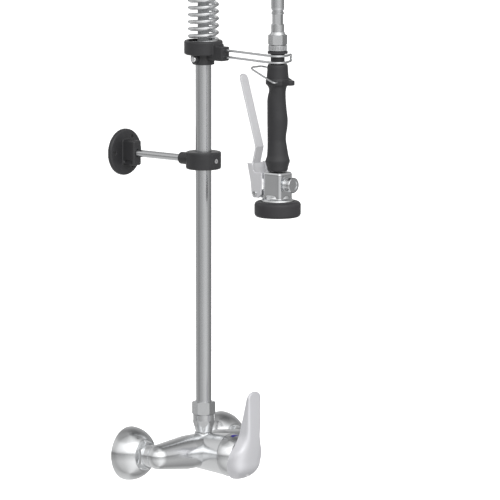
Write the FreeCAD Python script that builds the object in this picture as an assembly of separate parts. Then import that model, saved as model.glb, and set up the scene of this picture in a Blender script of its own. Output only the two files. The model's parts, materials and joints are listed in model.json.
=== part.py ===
import FreeCAD, Part
import math
import os
from FreeCAD import Vector

# Pre-rinse faucet, wall mounted. Millimetres, +Z up, the wall behind the mixer is the plane Y = 0
# and the user stands on the -Y side. The origin is midway between the two water inlets.

# ---- driving dimensions -------------------------------------------------------------------------
INLET_SPACING = 150.0          # centre to centre of the two inlets
INLET_THREAD_R = 10.48         # G1/2 male thread
UNION_BACK = 12.0              # how far the unions stand out behind the wall plane
RISER_Y = -44.0                # riser axis, in front of the wall
RISER_R = 8.8
SPRAY_REACH = 108.7            # riser axis to spray valve axis
SPRAY_Y = RISER_Y - SPRAY_REACH
SPIGOT_Y = -25.4               # face that seals against the inlet washer
NUT_FRONT_Y = -30.3

BODY_Z = -2.5                  # height of the cartridge axis
ARM_END_R = 14.0
ARM_ROOT_R = 18.8
ARM_ROOT_X = 30.0
HOUSING_ROOT_R = 20.3
HOUSING_R = 24.0
DOME_Y = -83.0                 # centre of the ball joint of the mixer lever
DOME_FRONT_Y = -99.0
CARTRIDGE_R = 17.2
CARTRIDGE_BORE_R = 17.5

INDEX_HALF = 6.0               # cold mark, half its width
INDEX_Y = (-92.2, -88.8)       # its front and back
HANDLE_TILT = 14.4             # degrees, lever leaning towards the user
HANDLE_HALF_WIDTH = 10.0
HANDLE_CAP_R = 22.6
HANDLE_TOP_Z = 72.0

NUT_FLATS = 27.0               # inlet nuts, across flats
ADAPTER_Z = 19.5
RISER_NUT_Z = 39.7
RISER_NUT_TOP = 54.0
RISER_TOP = 443.0

CLAMP_Z = 323.7                # wall bracket height
CLAMP_R = 19.6
CLAMP_H = 19.4
ROD_R = 4.0
PLATE_R = 26.0
PLATE_T = 4.8
PLATE_BACK_Y = 75.5
PLATE_HOLES = 3
PLATE_PCD = 38.0
PLATE_HOLE_R = 2.2
HUB_SIZE = (12.6, 17.0, 28.0)

COLLAR_Z = 430.3
COLLAR_STEP_Z = 441.3
COLLAR_R = 21.4
COLLAR_LOW_R = 12.2
ARM_REACH = 33.0
HOOK_WIRE_R = 1.4
HOOK_Z = (447.9, 440.6)
HOOK_LOOP_R = 10.2
BAIL_WIRE_R = 1.1

SPRING_R = 17.5
SPRING_WALL = 2.2              # a plain sleeve with the weight of the wound wire
SPRING_START_Z = 448.6
SPRING_END_Z = 560.0
HOSE_R = 6.4
HOSE_BORE_R = 3.4
ARCH_LEG_Z = 620.0             # where the two upright legs start to bend
ARCH_LEG_R = 260.0
ARCH_LEAN = 22.0               # degrees, lean of the legs away from each other

VALVE_Z = 289.0
VALVE_TOP = 320.0
STEM_Z = 313.0
LEVER_PIVOT = (20.7, 295.0)    # from the spray axis towards the wall, and height
LEVER_T = 2.2
LEVER_WIDTH = 12.5
BAIL_PIVOT = (-7.9, 420.8)
GAP = 0.05                     # radial clearance of parts seated in each other

X = Vector(1, 0, 0)
Y = Vector(0, 1, 0)
Z = Vector(0, 0, 1)


# ---- small helpers ------------------------------------------------------------------------------
def cylinder(start, axis, radius, length):
    """A solid cylinder from a start point along an axis."""
    return Part.makeCylinder(radius, length, Vector(*start), Vector(axis))


def tube(start, axis, outer, inner, length):
    """A hollow cylinder."""
    return cylinder(start, axis, outer, length).cut(cylinder(start, axis, inner, length))


def cone(start, axis, radius_a, radius_b, length):
    """A truncated cone from a start point along an axis."""
    return Part.makeCone(radius_a, radius_b, length, Vector(*start), Vector(axis))


def block(low, high):
    """A box between two corners."""
    size = [b - a for a, b in zip(low, high)]
    return Part.makeBox(size[0], size[1], size[2], Vector(*low))


def hexagon(centre, axis, across_flats, length, turn=0.0):
    """A hexagonal prism; turn is the angle of its first corner about the axis."""
    corner = across_flats / math.sqrt(3.0)
    points = []
    for i in range(7):
        a = math.radians(60.0 * i + turn)
        points.append(Vector(corner * math.cos(a), corner * math.sin(a), 0))
    prism = Part.Face(Part.makePolygon(points)).extrude(Vector(0, 0, length))
    prism.Placement = FreeCAD.Placement(Vector(*centre), FreeCAD.Rotation(Z, Vector(axis)))
    return prism


def turned(points, centre, axis, angle=360.0):
    """A solid of revolution. points are (radius, height along the axis) pairs."""
    outline = [Vector(r, 0, h) for r, h in points]
    outline.append(outline[0])
    solid = Part.Face(Part.makePolygon(outline)).revolve(Vector(0, 0, 0), Z, angle)
    solid.Placement = FreeCAD.Placement(Vector(*centre), FreeCAD.Rotation(Z, Vector(axis)))
    return solid


def plate_yz(points, x_low, x_high):
    """A flat plate with an outline of (y, z) points, from one x to another."""
    outline = [Vector(x_low, y, z) for y, z in points]
    outline.append(outline[0])
    return Part.Face(Part.makePolygon(outline)).extrude(Vector(x_high - x_low, 0, 0))


def chamfered_hexagon(centre, axis, across_flats, length, chamfer, turn=0.0):
    """A hexagonal nut whose corners are turned down at both ends."""
    corner = across_flats / math.sqrt(3.0)
    blank = turned(
        [(0, 0), (corner - chamfer, 0), (corner + 0.1, chamfer * 0.6),
         (corner + 0.1, length - chamfer * 0.6), (corner - chamfer, length), (0, length)],
        centre, axis)
    return hexagon(centre, axis, across_flats, length, turn).common(blank)


def wire_solid(corners, radius):
    """A round wire. corners are (x, y, z, bend radius); the two ends have no bend."""
    points = [Vector(*c[:3]) for c in corners]
    edges = []
    last = points[0]
    for i in range(1, len(points) - 1):
        before = (points[i - 1] - points[i]).normalize()
        after = (points[i + 1] - points[i]).normalize()
        half = before.getAngle(after) / 2.0
        bend = corners[i][3]
        start = points[i] + before * (bend / math.tan(half))
        end = points[i] + after * (bend / math.tan(half))
        inward = (before + after).normalize()
        middle = points[i] + inward * (bend / math.sin(half) - bend)
        edges.append(Part.LineSegment(last, start).toShape())
        edges.append(Part.Arc(start, middle, end).toShape())
        last = end
    edges.append(Part.LineSegment(last, points[-1]).toShape())
    ring = Part.makeCircle(radius, points[0], (points[1] - points[0]).normalize())
    return Part.Wire(edges).makePipeShell([Part.Wire([ring])], True, True)


def fillet_edges(shape, radius, wanted):
    """Round the edges that pass the test."""
    edges = [e for e in shape.Edges if wanted(e)]
    return shape.makeFillet(radius, edges) if edges else shape


def export(name, shape):
    """Write one node."""
    shape.exportStep("parts/%s.step" % name)


# ---- mixer --------------------------------------------------------------------------------------
def mixer_body():
    """Casting: two arms, the cartridge housing and the water ways."""
    half = INLET_SPACING / 2.0
    root_z = BODY_Z + 0.6
    shape = cone((0, RISER_Y, root_z), -Y, HOUSING_ROOT_R, HOUSING_R, RISER_Y - DOME_Y + 1.4)
    shape = shape.fuse(Part.makeSphere(HOUSING_ROOT_R, Vector(0, RISER_Y, root_z)))
    for side in (-1, 1):
        arm = cone((side * half, RISER_Y, 0), X * -side, ARM_END_R, ARM_ROOT_R, half - ARM_ROOT_X)
        root = cylinder((side * ARM_ROOT_X, RISER_Y, 0), X * -side, ARM_ROOT_R, ARM_ROOT_X)
        end = Part.makeSphere(ARM_END_R, Vector(side * half, RISER_Y, 0))
        spigot = cylinder((side * half, RISER_Y, 0), Y, 12.6, SPIGOT_Y - RISER_Y)
        shape = shape.multiFuse([arm, root, end, spigot])
    shape = shape.fuse(cylinder((0, RISER_Y, 0), Z, 10.6, ADAPTER_Z))
    cuts = [cylinder((0, -56, BODY_Z), -Y, CARTRIDGE_BORE_R, 40.0),
            cylinder((0, RISER_Y, BODY_Z), Z, 6.0, 30.0),
            cylinder((0, RISER_Y, BODY_Z), -Y, 6.0, 14.0)]
    for side in (-1, 1):
        cuts.append(cylinder((side * half, RISER_Y, 0), Y, 7.0, 20.0))
        cuts.append(tube((side * half, NUT_FRONT_Y - 0.3, 0), Y, 20.0, 12.6, 8.0))
        cuts.append(cylinder((side * 12.0, RISER_Y, 0), X * side, 6.0, half - 12.0))
        cuts.append(Part.makeSphere(7.0, Vector(side * half, RISER_Y, 0)))
        cuts.append(cylinder((side * 12.0, RISER_Y, BODY_Z), -Y, 4.0, 14.0))
        cuts.append(Part.makeSphere(6.0, Vector(side * 12.0, RISER_Y, 0)))
    cuts.append(cylinder((0, RISER_Y, ADAPTER_Z), Z, 14.0, 6.0))
    for cut in cuts:
        shape = shape.cut(cut)
    return shape


def escutcheon(side):
    """Domed wall cover round one union."""
    centre = (side * INLET_SPACING / 2.0, 0, 0)
    outer = Part.makeSphere(30.0, Vector(*centre))
    inner = Part.makeSphere(28.6, Vector(*centre))
    shell = outer.cut(inner)
    shell = shell.common(block((centre[0] - 35, -24.6, -35), (centre[0] + 35, 0, 35)))
    return shell.cut(cylinder((centre[0], 0, 0), -Y, 16.2, 40.0))


def union(side):
    """Straight wall union: G1/2 thread in the wall, collar inside the nut."""
    x = side * INLET_SPACING / 2.0
    shape = cylinder((x, UNION_BACK, 0), -Y, INLET_THREAD_R, UNION_BACK + 15.5)
    shape = shape.fuse(cylinder((x, -15.0, 0), -Y, 9.0, 6.0))
    shape = shape.fuse(cylinder((x, -19.6, 0), -Y, 11.6, 3.8))
    return shape.cut(cylinder((x, UNION_BACK + 1, 0), -Y, 7.0, 60.0))


def inlet_nut(side):
    """Hexagonal union nut, a corner up and a corner down."""
    x = side * INLET_SPACING / 2.0
    back_y = -16.6
    shape = chamfered_hexagon((x, back_y, 0), -Y, NUT_FLATS, back_y - NUT_FRONT_Y, 1.2, 30.0)
    shape = shape.cut(cylinder((x, 0, 0), -Y, 9.3, 60.0))
    return shape.cut(cylinder((x, back_y - 2.8, 0), -Y, 12.75, 14.0))


def inlet_washer(side):
    """Flat sealing washer between union and body."""
    x = side * INLET_SPACING / 2.0
    return tube((x, -23.6, 0), -Y, 11.8, 7.2, 1.6)


def cartridge_parts():
    """Ceramic cartridge from its base to its retaining nut."""
    parts = {}
    cup = cylinder((0, -57.5, BODY_Z), -Y, CARTRIDGE_R, 28.0)
    cup = cup.cut(cylinder((0, -61.0, BODY_Z), -Y, 15.0, 40.0))
    for angle in (90, 210, 330):
        a = math.radians(angle)
        port = (7.5 * math.cos(a), -50.0, BODY_Z + 7.5 * math.sin(a))
        cup = cup.cut(cylinder(port, -Y, 2.6, 20.0))
    parts["cartridge_body"] = cup
    fixed = cylinder((0, -61.2, BODY_Z), -Y, 14.8, 4.0)
    moving = cylinder((0, -65.3, BODY_Z), -Y, 11.6, 3.6)
    moving = moving.cut(cylinder((0, -65.3, BODY_Z), -Y, 5.5, 1.6))
    for angle in (90, 210, 330):
        a = math.radians(angle)
        port = (7.5 * math.cos(a), -60.0, BODY_Z + 7.5 * math.sin(a))
        fixed = fixed.cut(cylinder(port, -Y, 2.6, 10.0))
    parts["ceramic_seat"] = fixed
    parts["ceramic_slide"] = moving
    rotor = tube((0, -70.0, BODY_Z), -Y, 14.6, 9.6, 15.4)
    rotor = rotor.cut(cylinder((-20, DOME_Y, BODY_Z), X, 1.5, 40.0))
    parts["cartridge_rotor"] = rotor
    parts["rotor_pin"] = cylinder((-14.0, DOME_Y, BODY_Z), X, 1.45, 28.0)
    nut = turned([(13.2, 0), (17.3, 0), (17.3, 3.0), (15.0, 6.0), (13.2, 6.0)], (0, -86.0, BODY_Z), -Y)
    parts["cartridge_nut"] = nut
    return parts


def dome_cap():
    """Spherical bonnet that the lever's cap rides over."""
    centre = Vector(0, DOME_Y, BODY_Z)
    shell = Part.makeSphere(HOUSING_R, centre).cut(Part.makeSphere(HOUSING_R - 1.8, centre))
    shell = shell.common(block((-30, DOME_FRONT_Y, -40), (30, DOME_Y - 1.7, 40)))
    index = block((-INDEX_HALF - 0.1, INDEX_Y[0] - 0.1, 10), (INDEX_HALF + 0.1, INDEX_Y[1] + 0.1, 30))
    return shell.cut(index.common(Part.makeSphere(HOUSING_R + 1, centre).cut(
        Part.makeSphere(HOUSING_R - 0.7, centre))))


def cold_index():
    """Coloured mark let into the top of the bonnet."""
    centre = Vector(0, DOME_Y, BODY_Z)
    shell = Part.makeSphere(HOUSING_R + 0.02, centre).cut(Part.makeSphere(HOUSING_R - 0.6, centre))
    return shell.common(block((-INDEX_HALF, INDEX_Y[0], 10), (INDEX_HALF, INDEX_Y[1], 30)))


def handle_outline_front():
    """Front outline of the mixer lever: a narrow blade over a round cap, in the XZ plane."""
    w = HANDLE_HALF_WIDTH
    top = HANDLE_TOP_Z
    cap_z = BODY_Z - 3.2
    join = math.radians(38.0)
    px = HANDLE_CAP_R * math.cos(join)
    pz = cap_z + HANDLE_CAP_R * math.sin(join)
    waist_z = 30.0

    def p(x, z):
        return Vector(x, -200, z)

    right = Part.BezierCurve()
    right.setPoles([p(w + 0.8, waist_z), p(w + 1.2, waist_z - 9), p(px - 2.5, pz + 4.5), p(px, pz)])
    left = Part.BezierCurve()
    left.setPoles([p(-px, pz), p(-px + 2.5, pz + 4.5), p(-w - 1.2, waist_z - 9), p(-w - 0.8, waist_z)])
    edges = [
        Part.Arc(p(-w, top - 7), p(0, top), p(w, top - 7)).toShape(),
        Part.LineSegment(p(w, top - 7), p(w + 0.8, waist_z)).toShape(),
        right.toShape(),
        Part.Arc(p(px, pz), p(0, cap_z - HANDLE_CAP_R), p(-px, pz)).toShape(),
        left.toShape(),
        Part.LineSegment(p(-w - 0.8, waist_z), p(-w, top - 7)).toShape(),
    ]
    return Part.Face(Part.Wire(edges))


def handle_side():
    """Side outline of the mixer lever in the YZ plane, thin at the top and full at the cap."""
    slope = math.tan(math.radians(HANDLE_TILT))
    over = HANDLE_TOP_Z + 1

    def back(z):
        return -92.2 - slope * (z + 28.3)

    def p(y, z):
        return Vector(-40, y, z)

    front = Part.BezierCurve()
    front.setPoles([p(-120.3, 40), p(-120.0, 18), p(-119.0, 2), p(-116.0, -8)])
    chin = Part.BezierCurve()
    chin.setPoles([p(-116.0, -8), p(-112.6, -18.5), p(-104.0, -27.0), p(-94.0, -28.6)])
    edges = [
        Part.LineSegment(p(back(-28.6), -28.6), p(back(over), over)).toShape(),
        Part.LineSegment(p(back(over), over), p(-120.6, over)).toShape(),
        Part.LineSegment(p(-120.6, over), p(-120.3, 40)).toShape(),
        front.toShape(),
        chin.toShape(),
        Part.LineSegment(p(-94.0, -28.6), p(back(-28.6), -28.6)).toShape(),
    ]
    return Part.Face(Part.Wire(edges))


def mixer_handle():
    """Mixer lever: blade and cap in one casting, hollow over the bonnet."""
    blade = handle_outline_front().extrude(Vector(0, 200, 0))
    side = handle_side().extrude(Vector(80, 0, 0))
    shape = blade.common(side)
    centre = Vector(0, DOME_Y, BODY_Z)
    shape = shape.cut(Part.makeSphere(HOUSING_R + 0.7, centre))
    socket = block((-4.2, -113.0, BODY_Z - 4.2), (4.2, -95.0, BODY_Z + 4.2))
    socket.rotate(centre, X, HANDLE_TILT)
    shape = shape.cut(socket)
    screw_hole = cylinder((0, -107.5, -40), Z, 2.6, 40)
    return shape.cut(screw_hole)


def lever_stem():
    """Square stem of the cartridge, clamped in the mixer lever."""
    centre = Vector(0, DOME_Y, BODY_Z)
    stem = block((-4, -111.0, BODY_Z - 4), (4, -75.0, BODY_Z + 4))
    foot = Part.makeSphere(4.0, Vector(0, -75.0, BODY_Z))
    stem = stem.fuse(foot).cut(cylinder((-20, DOME_Y, BODY_Z), X, 1.5, 40.0))
    stem.rotate(centre, X, HANDLE_TILT)
    return stem


def handle_screw():
    """Grub screw that clamps the lever on the stem, from below."""
    screw = cylinder((0, -107.5, -23.5), Z, 2.5, 9.8)
    return screw.cut(hexagon((0, -107.5, -23.6), Z, 2.5, 3.0))


# ---- riser --------------------------------------------------------------------------------------
def outlet_adapter():
    """Adapter between mixer and riser, with wrench flats on its lower half."""
    z0 = ADAPTER_Z + 0.3
    low = cone((0, RISER_Y, z0), Z, 9.0, 12.4, 13.0).common(
        hexagon((0, RISER_Y, z0), Z, 21.0, 13.0, 11.2))
    shape = low.fuse(cylinder((0, RISER_Y, z0 + 13.0), Z, 12.1, RISER_NUT_Z - z0 - 13.2))
    shape = shape.fuse(cylinder((0, RISER_Y, RISER_NUT_Z - 1), Z, 10.0, 9.0))
    return shape.cut(cylinder((0, RISER_Y, z0 - 1), Z, 6.0, 24.0)).cut(
        cylinder((0, RISER_Y, RISER_NUT_Z - 1), Z, RISER_R + GAP, 14.0))


def riser_nut():
    """Compression nut on the adapter."""
    height = RISER_NUT_TOP - RISER_NUT_Z
    shape = chamfered_hexagon((0, RISER_Y, RISER_NUT_Z), Z, 22.6, height, 1.4, 11.2)
    shape = shape.cut(cylinder((0, RISER_Y, RISER_NUT_Z - 1), Z, 10.0 + GAP, height - 2.0))
    return shape.cut(cylinder((0, RISER_Y, RISER_NUT_Z), Z, RISER_R + GAP, height + 1))


def riser_pipe():
    """Straight riser pipe."""
    return tube((0, RISER_Y, RISER_NUT_Z - 0.8), Z, RISER_R, RISER_R - 1.5, RISER_TOP - RISER_NUT_Z + 0.8)


def riser_seal():
    """Compression ring over the riser, inside the nut."""
    return turned([(RISER_R + GAP, 0), (9.7, 0), (9.7, 1.2), (9.3, 2.4), (RISER_R + GAP, 2.4)],
                  (0, RISER_Y, RISER_NUT_Z + 8.6), Z)


# ---- wall bracket -------------------------------------------------------------------------------
def bracket_clamp():
    """Moulded clamp: a ring on the riser and a neck for the rod."""
    ring = turned(
        [(0, 0), (CLAMP_R - 1.6, 0), (CLAMP_R - 0.4, 0.5), (CLAMP_R, 1.7), (CLAMP_R, CLAMP_H - 1.7),
         (CLAMP_R - 0.4, CLAMP_H - 0.5), (CLAMP_R - 1.6, CLAMP_H), (0, CLAMP_H)],
        (0, RISER_Y, CLAMP_Z - CLAMP_H / 2), Z)
    neck = cylinder((0, RISER_Y + 8, CLAMP_Z), Y, 6.8, 24.5)
    shape = ring.fuse(neck)
    shape = shape.cut(cylinder((0, RISER_Y, CLAMP_Z - 20), Z, RISER_R + 0.06, 40))
    shape = shape.cut(cylinder((0, RISER_Y + 17, CLAMP_Z), Y, ROD_R + GAP, 24))
    return shape.cut(cylinder((0, RISER_Y, CLAMP_Z), -Y, 2.55, 30))


def clamp_screw():
    """Grub screw of the clamp, facing the user."""
    screw = cylinder((0, RISER_Y - 9.4, CLAMP_Z), -Y, 2.5, 9.6)
    return screw.cut(hexagon((0, RISER_Y - 19.1, CLAMP_Z), Y, 2.5, 3.0))


def bracket_rod():
    """Round rod from the clamp to the wall plate."""
    return cylinder((0, RISER_Y + 17.2, CLAMP_Z), Y, ROD_R, 87.0)


def wall_plate():
    """Round wall plate with the hub that holds the rod."""
    y0 = PLATE_BACK_Y
    plate = turned([(0, 0), (PLATE_R, 0), (PLATE_R, 3.0), (PLATE_R - 0.6, 4.2), (PLATE_R - 1.8, PLATE_T),
                    (0, PLATE_T)], (0, y0, CLAMP_Z), -Y)
    sx, sy, sz = HUB_SIZE
    front = y0 - PLATE_T
    hub = block((-sx / 2, front - sy, CLAMP_Z - sz / 2), (sx / 2, front + 1, CLAMP_Z + sz / 2))
    hub = fillet_edges(hub, 2.0, lambda e: e.BoundBox.YMin < y0 - PLATE_T - sy + 0.1)
    shape = plate.fuse(hub)
    shape = shape.cut(cylinder((0, y0 - 40, CLAMP_Z), Y, ROD_R + GAP, 30.0))
    for i in range(PLATE_HOLES):
        a = math.radians(60 + 360.0 / PLATE_HOLES * i)
        centre = (PLATE_PCD / 2 * math.cos(a), y0 + 1, CLAMP_Z + PLATE_PCD / 2 * math.sin(a))
        shape = shape.cut(cylinder(centre, -Y, PLATE_HOLE_R, 8.0))
    for side in (-1, 1):
        notch = block((side * 6.5 - 1.4, y0 - PLATE_T - 13.5, CLAMP_Z - 11.8),
                      (side * 6.5 + 1.4, y0 - PLATE_T - 1.5, CLAMP_Z - 8.6))
        shape = shape.cut(notch)
    return shape.cut(cylinder((0, y0 - PLATE_T - 9, CLAMP_Z - 20), Z, 2.05, 20))


def hub_screw():
    """Grub screw under the hub, against the rod."""
    z0 = CLAMP_Z - HUB_SIZE[2] / 2
    y = PLATE_BACK_Y - PLATE_T - 9
    screw = cylinder((0, y, z0 + 1.0), Z, 2.0, CLAMP_Z - ROD_R - z0 - 1.05)
    return screw.cut(hexagon((0, y, z0 + 0.9), Z, 2.0, 2.5))


# ---- spring collar and hook ---------------------------------------------------------------------
def hook_collar():
    """Moulded collar on the riser: spring seat above, screw boss to the left, hook arm in front."""
    low = cylinder((0, RISER_Y, COLLAR_Z), Z, COLLAR_LOW_R, COLLAR_STEP_Z - COLLAR_Z + 1)
    high = turned(
        [(0, 0), (COLLAR_R - 1.4, 0), (COLLAR_R, 1.4), (COLLAR_R, 14.2), (COLLAR_R - 0.5, 15.4),
         (COLLAR_R - 1.7, 15.9), (0, 15.9)], (0, RISER_Y, COLLAR_STEP_Z), Z)
    boss = cylinder((0, RISER_Y, COLLAR_Z + 7.0), -X, 5.2, 16.0)
    arm = block((-6.7, RISER_Y - ARM_REACH, 436.0), (6.7, RISER_Y - 8, 454.3))
    arm = fillet_edges(arm, 1.8, lambda e: e.BoundBox.YMin < RISER_Y - ARM_REACH + 0.1)
    shape = low.multiFuse([high, boss, arm])
    step = block((-10, RISER_Y - ARM_REACH - 1, 451.6), (10, RISER_Y - 24.5, 460))
    shape = shape.cut(step)
    cuts = [cylinder((0, RISER_Y, COLLAR_Z - 1), Z, RISER_R + 0.3, 20),
            cylinder((0, RISER_Y, COLLAR_STEP_Z + 1.2), Z, 13.6, 20),
            cylinder((0, RISER_Y, SPRING_START_Z - 0.3), Z, SPRING_R + 0.3, 20),
            cylinder((0, RISER_Y, COLLAR_Z + 7.0), -X, 2.3, 20)]
    for z in HOOK_Z:
        cuts.append(cylinder((0, RISER_Y - ARM_REACH + 9.2, z), -Y, HOOK_WIRE_R + GAP, 20))
    for cut in cuts:
        shape = shape.cut(cut)
    return shape


def collar_screw():
    """Pan head screw in the collar's boss."""
    shank = cylinder((-9.4, RISER_Y, COLLAR_Z + 7.0), -X, 2.2, 6.7)
    outline = [(0, 0), (3.4, 0), (3.4, 0.9), (2.6, 1.9), (0, 2.2)]
    head = turned(outline, (-16.1, RISER_Y, COLLAR_Z + 7.0), -X)
    slot = block((-20, RISER_Y - 0.5, COLLAR_Z), (-17.4, RISER_Y + 0.5, COLLAR_Z + 14))
    return shank.fuse(head).cut(slot)


def hook_wire():
    """One bent wire: two strands one above the other, joined by an upright bend at the free end."""
    r = HOOK_LOOP_R
    y0 = RISER_Y - ARM_REACH + 9.0
    plan = [(0, y0, 0), (0, y0 - 15.0, 10.0), (-r - 2.0, SPRAY_Y - r - 0.4, r - 0.2),
            (4.6, SPRAY_Y - r - 0.2, 12.0), (17.6, SPRAY_Y - 4.2, 3.6)]
    top = [(x, y, HOOK_Z[0], bend) for x, y, bend in plan]
    low = [(x, y, HOOK_Z[1], bend) for x, y, bend in reversed(plan)]
    return wire_solid(top + low, HOOK_WIRE_R)


# ---- spring and hose ----------------------------------------------------------------------------
def arch_segments(z_start, z_end):
    """The overhead route: ('line', from, to) and ('arc', from, centre, degrees) pieces."""
    lean = math.radians(ARCH_LEAN)
    half = SPRAY_REACH / 2.0
    crown_r = (half + ARCH_LEG_R * (1 - math.cos(lean))) / math.cos(lean)
    y_a = RISER_Y + ARCH_LEG_R * (1 - math.cos(lean))
    z_a = ARCH_LEG_Z + ARCH_LEG_R * math.sin(lean)
    y_b = SPRAY_Y - ARCH_LEG_R * (1 - math.cos(lean))
    crown = Vector(0, RISER_Y - half, z_a + crown_r * math.sin(lean))
    return [
        ("line", Vector(0, RISER_Y, z_start), Vector(0, RISER_Y, ARCH_LEG_Z)),
        ("arc", Vector(0, RISER_Y, ARCH_LEG_Z), Vector(0, RISER_Y + ARCH_LEG_R, ARCH_LEG_Z), -ARCH_LEAN),
        ("arc", Vector(0, y_a, z_a), crown, 180 + 2 * ARCH_LEAN),
        ("arc", Vector(0, y_b, z_a), Vector(0, SPRAY_Y - ARCH_LEG_R, ARCH_LEG_Z), -ARCH_LEAN),
        ("line", Vector(0, SPRAY_Y, ARCH_LEG_Z), Vector(0, SPRAY_Y, z_end)),
    ]


def along_route(segments, outer, inner):
    """A tube of straight runs and arcs in the plane X = 0, turned about each arc's centre."""
    total = None
    way = Z
    for segment in segments:
        start = segment[1]
        face = Part.Face(Part.Wire([Part.makeCircle(outer, start, way)]))
        hole = Part.Face(Part.Wire([Part.makeCircle(inner, start, way)]))
        if segment[0] == "line":
            piece = face.extrude(segment[2] - start).cut(hole.extrude(segment[2] - start))
        else:
            angle = segment[3]
            piece = face.revolve(segment[2], X, angle).cut(hole.revolve(segment[2], X, angle))
            way = FreeCAD.Rotation(X, angle).multVec(way)
        total = piece if total is None else total.fuse(piece)
    return total.removeSplitter()


def hose_lower_nut():
    """Nut of the hose on the riser's top, inside the collar."""
    shape = chamfered_hexagon((0, RISER_Y, RISER_TOP + 0.3), Z, 21.0, 10.0, 1.2, 0.0)
    return shape.cut(cylinder((0, RISER_Y, RISER_TOP - 1), Z, HOSE_R + GAP, 20))


def spring_cap():
    """Turned cap that closes the spring's end over the spray."""
    return turned([(HOSE_R + 0.3, 0), (11.0, 0), (15.0, 2.0), (18.2, 5.0), (18.2, 9.0), (SPRING_R + 0.1, 9.0),
                   (SPRING_R + 0.1, 5.8), (HOSE_R + 0.3, 5.8)], (0, SPRAY_Y, SPRING_END_Z - 6.0), Z)


# ---- spray: inlet fittings ----------------------------------------------------------------------
def spray_fittings():
    """The stack of turned fittings between hose and grip, from the top down."""
    c = (0, SPRAY_Y, 0)
    parts = {}
    parts["hose_ferrule"] = turned(
        [(5.2, 493.4), (6.9, 493.4), (6.9, 495.2), (6.2, 495.9), (6.2, 497.4), (6.9, 498.1), (7.2, 500.4),
         (7.2, 522.0), (6.75, 523.5), (HOSE_R + GAP, 523.5), (HOSE_R + GAP, 500.2), (5.2, 500.2)], c, Z)
    tail = turned([(3.4, 474.3), (7.2, 474.3), (7.2, 481.8), (6.5, 482.6), (6.0, 482.6), (6.0, 493.1),
                   (4.9, 493.1), (4.9, 499.8), (3.4, 499.8)], c, Z)
    flats = hexagon((0, SPRAY_Y, 482.6), Z, 10.6, 10.5, 12.0).fuse(
        cylinder((0, SPRAY_Y, 470), Z, 9.0, 12.6)).fuse(cylinder((0, SPRAY_Y, 493.1), Z, 9.0, 9.0))
    parts["swivel_tail"] = tail.common(flats).fuse(
        turned([(3.4, 463.9), (6.4, 463.9), (6.4, 465.4), (5.2, 465.4), (5.2, 474.3), (3.4, 474.3)], c, Z))
    nut = chamfered_hexagon((0, SPRAY_Y, 459.8), Z, 18.2, 11.0, 1.0, 11.2)
    nut = nut.fuse(turned([(0, 470.8), (8.4, 470.8), (7.4, 473.9), (0, 473.9)], c, Z))
    nut = nut.cut(cylinder((0, SPRAY_Y, 459), Z, 7.0, 6.6)).cut(cylinder((0, SPRAY_Y, 459), Z, 5.4, 20))
    parts["swivel_nut"] = nut
    rim = [(9.8, 452.9), (10.3, 453.7), (10.3, 458.9), (9.9, 459.5)]
    skirt = turned([(7.8, 452.9)] + rim + [(7.8, 459.5)], c, Z)
    for i in range(24):
        a = math.radians(15.0 * i)
        slot = cylinder((10.6 * math.cos(a), SPRAY_Y + 10.6 * math.sin(a), 453.9), Z, 0.62, 4.6)
        skirt = skirt.cut(slot)
    parts["inlet_skirt"] = skirt
    parts["inlet_washer"] = turned([(7.9, 449.9), (10.8, 449.9), (11.1, 450.3), (11.1, 452.2), (10.8, 452.6),
                                    (7.9, 452.6)], c, Z)
    parts["swivel_seal"] = turned([(5.0, 462.1), (6.6, 462.1), (6.6, 463.8), (5.0, 463.8)], c, Z)
    return parts


# ---- spray: grip --------------------------------------------------------------------------------
GRIP_PROFILE = [(0, 320.6), (10.9, 320.6), (11.6, 324.0), (12.6, 328.0), (13.6, 331.0), (13.6, 332.4),
                (12.4, 335.0), (11.6, 338.5), (11.1, 346.0), (10.7, 355.0), (10.8, 361.0), (11.3, 368.0),
                (11.4, 377.0), (11.1, 388.0), (10.8, 399.5), (10.4, 407.0), (10.8, 412.0), (12.6, 416.2),
                (13.3, 417.0), (13.3, 421.0), (12.6, 422.0), (12.1, 427.0), (11.4, 437.4), (10.6, 438.2),
                (0, 438.2)]


def handle_tube():
    """Black coated tube that carries the water through the grip."""
    neck = [(7.0, 436.0), (7.7, 436.8), (7.7, 459.2), (6.9, 459.6), (6.9, 462.0)]
    return turned([(5.0, 321.0), (7.0, 321.0)] + neck + [(5.0, 462.0)], (0, SPRAY_Y, 0), Z)


def grip():
    """Moulded hand grip with a flange and a thumb nose."""
    body = turned(GRIP_PROFILE, (0, SPRAY_Y, 0), Z)
    nose = block((-4.6, SPRAY_Y - 22.9, 415.8), (4.6, SPRAY_Y - 6, 421.2))
    nose = fillet_edges(nose, 2.4, lambda e: e.BoundBox.YMin < SPRAY_Y - 22.8 and e.BoundBox.ZLength > 4)
    shape = body.fuse(nose)
    for side in (-1, 1):
        y, z = BAIL_PIVOT
        shape = shape.cut(cylinder((side * 4.0, SPRAY_Y + y, z - 1.6), X * side, BAIL_WIRE_R + 0.08, 12))
    shape = shape.cut(cylinder((0, SPRAY_Y, 300), Z, 7.05, 139.0))
    return shape.cut(cylinder((0, SPRAY_Y, 435.8), Z, 7.8, 3.0))


def bail_ring():
    """Wire ring that holds the spray lever down, in the grip's flange."""
    y, z = BAIL_PIVOT
    z -= 1.6
    y0 = SPRAY_Y + y
    right = [(15.2, y0, z, 1.6), (15.2, y0 + 15, z + 5.8, 14.0), (12.0, y0 + 38.5, z + 14.0, 8.0)]
    left = [(-cx, cy, cz, bend) for cx, cy, cz, bend in reversed(right)]
    return wire_solid([(8.2, y0, z, 0)] + right + left + [(-8.2, y0, z, 0)], BAIL_WIRE_R)


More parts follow.
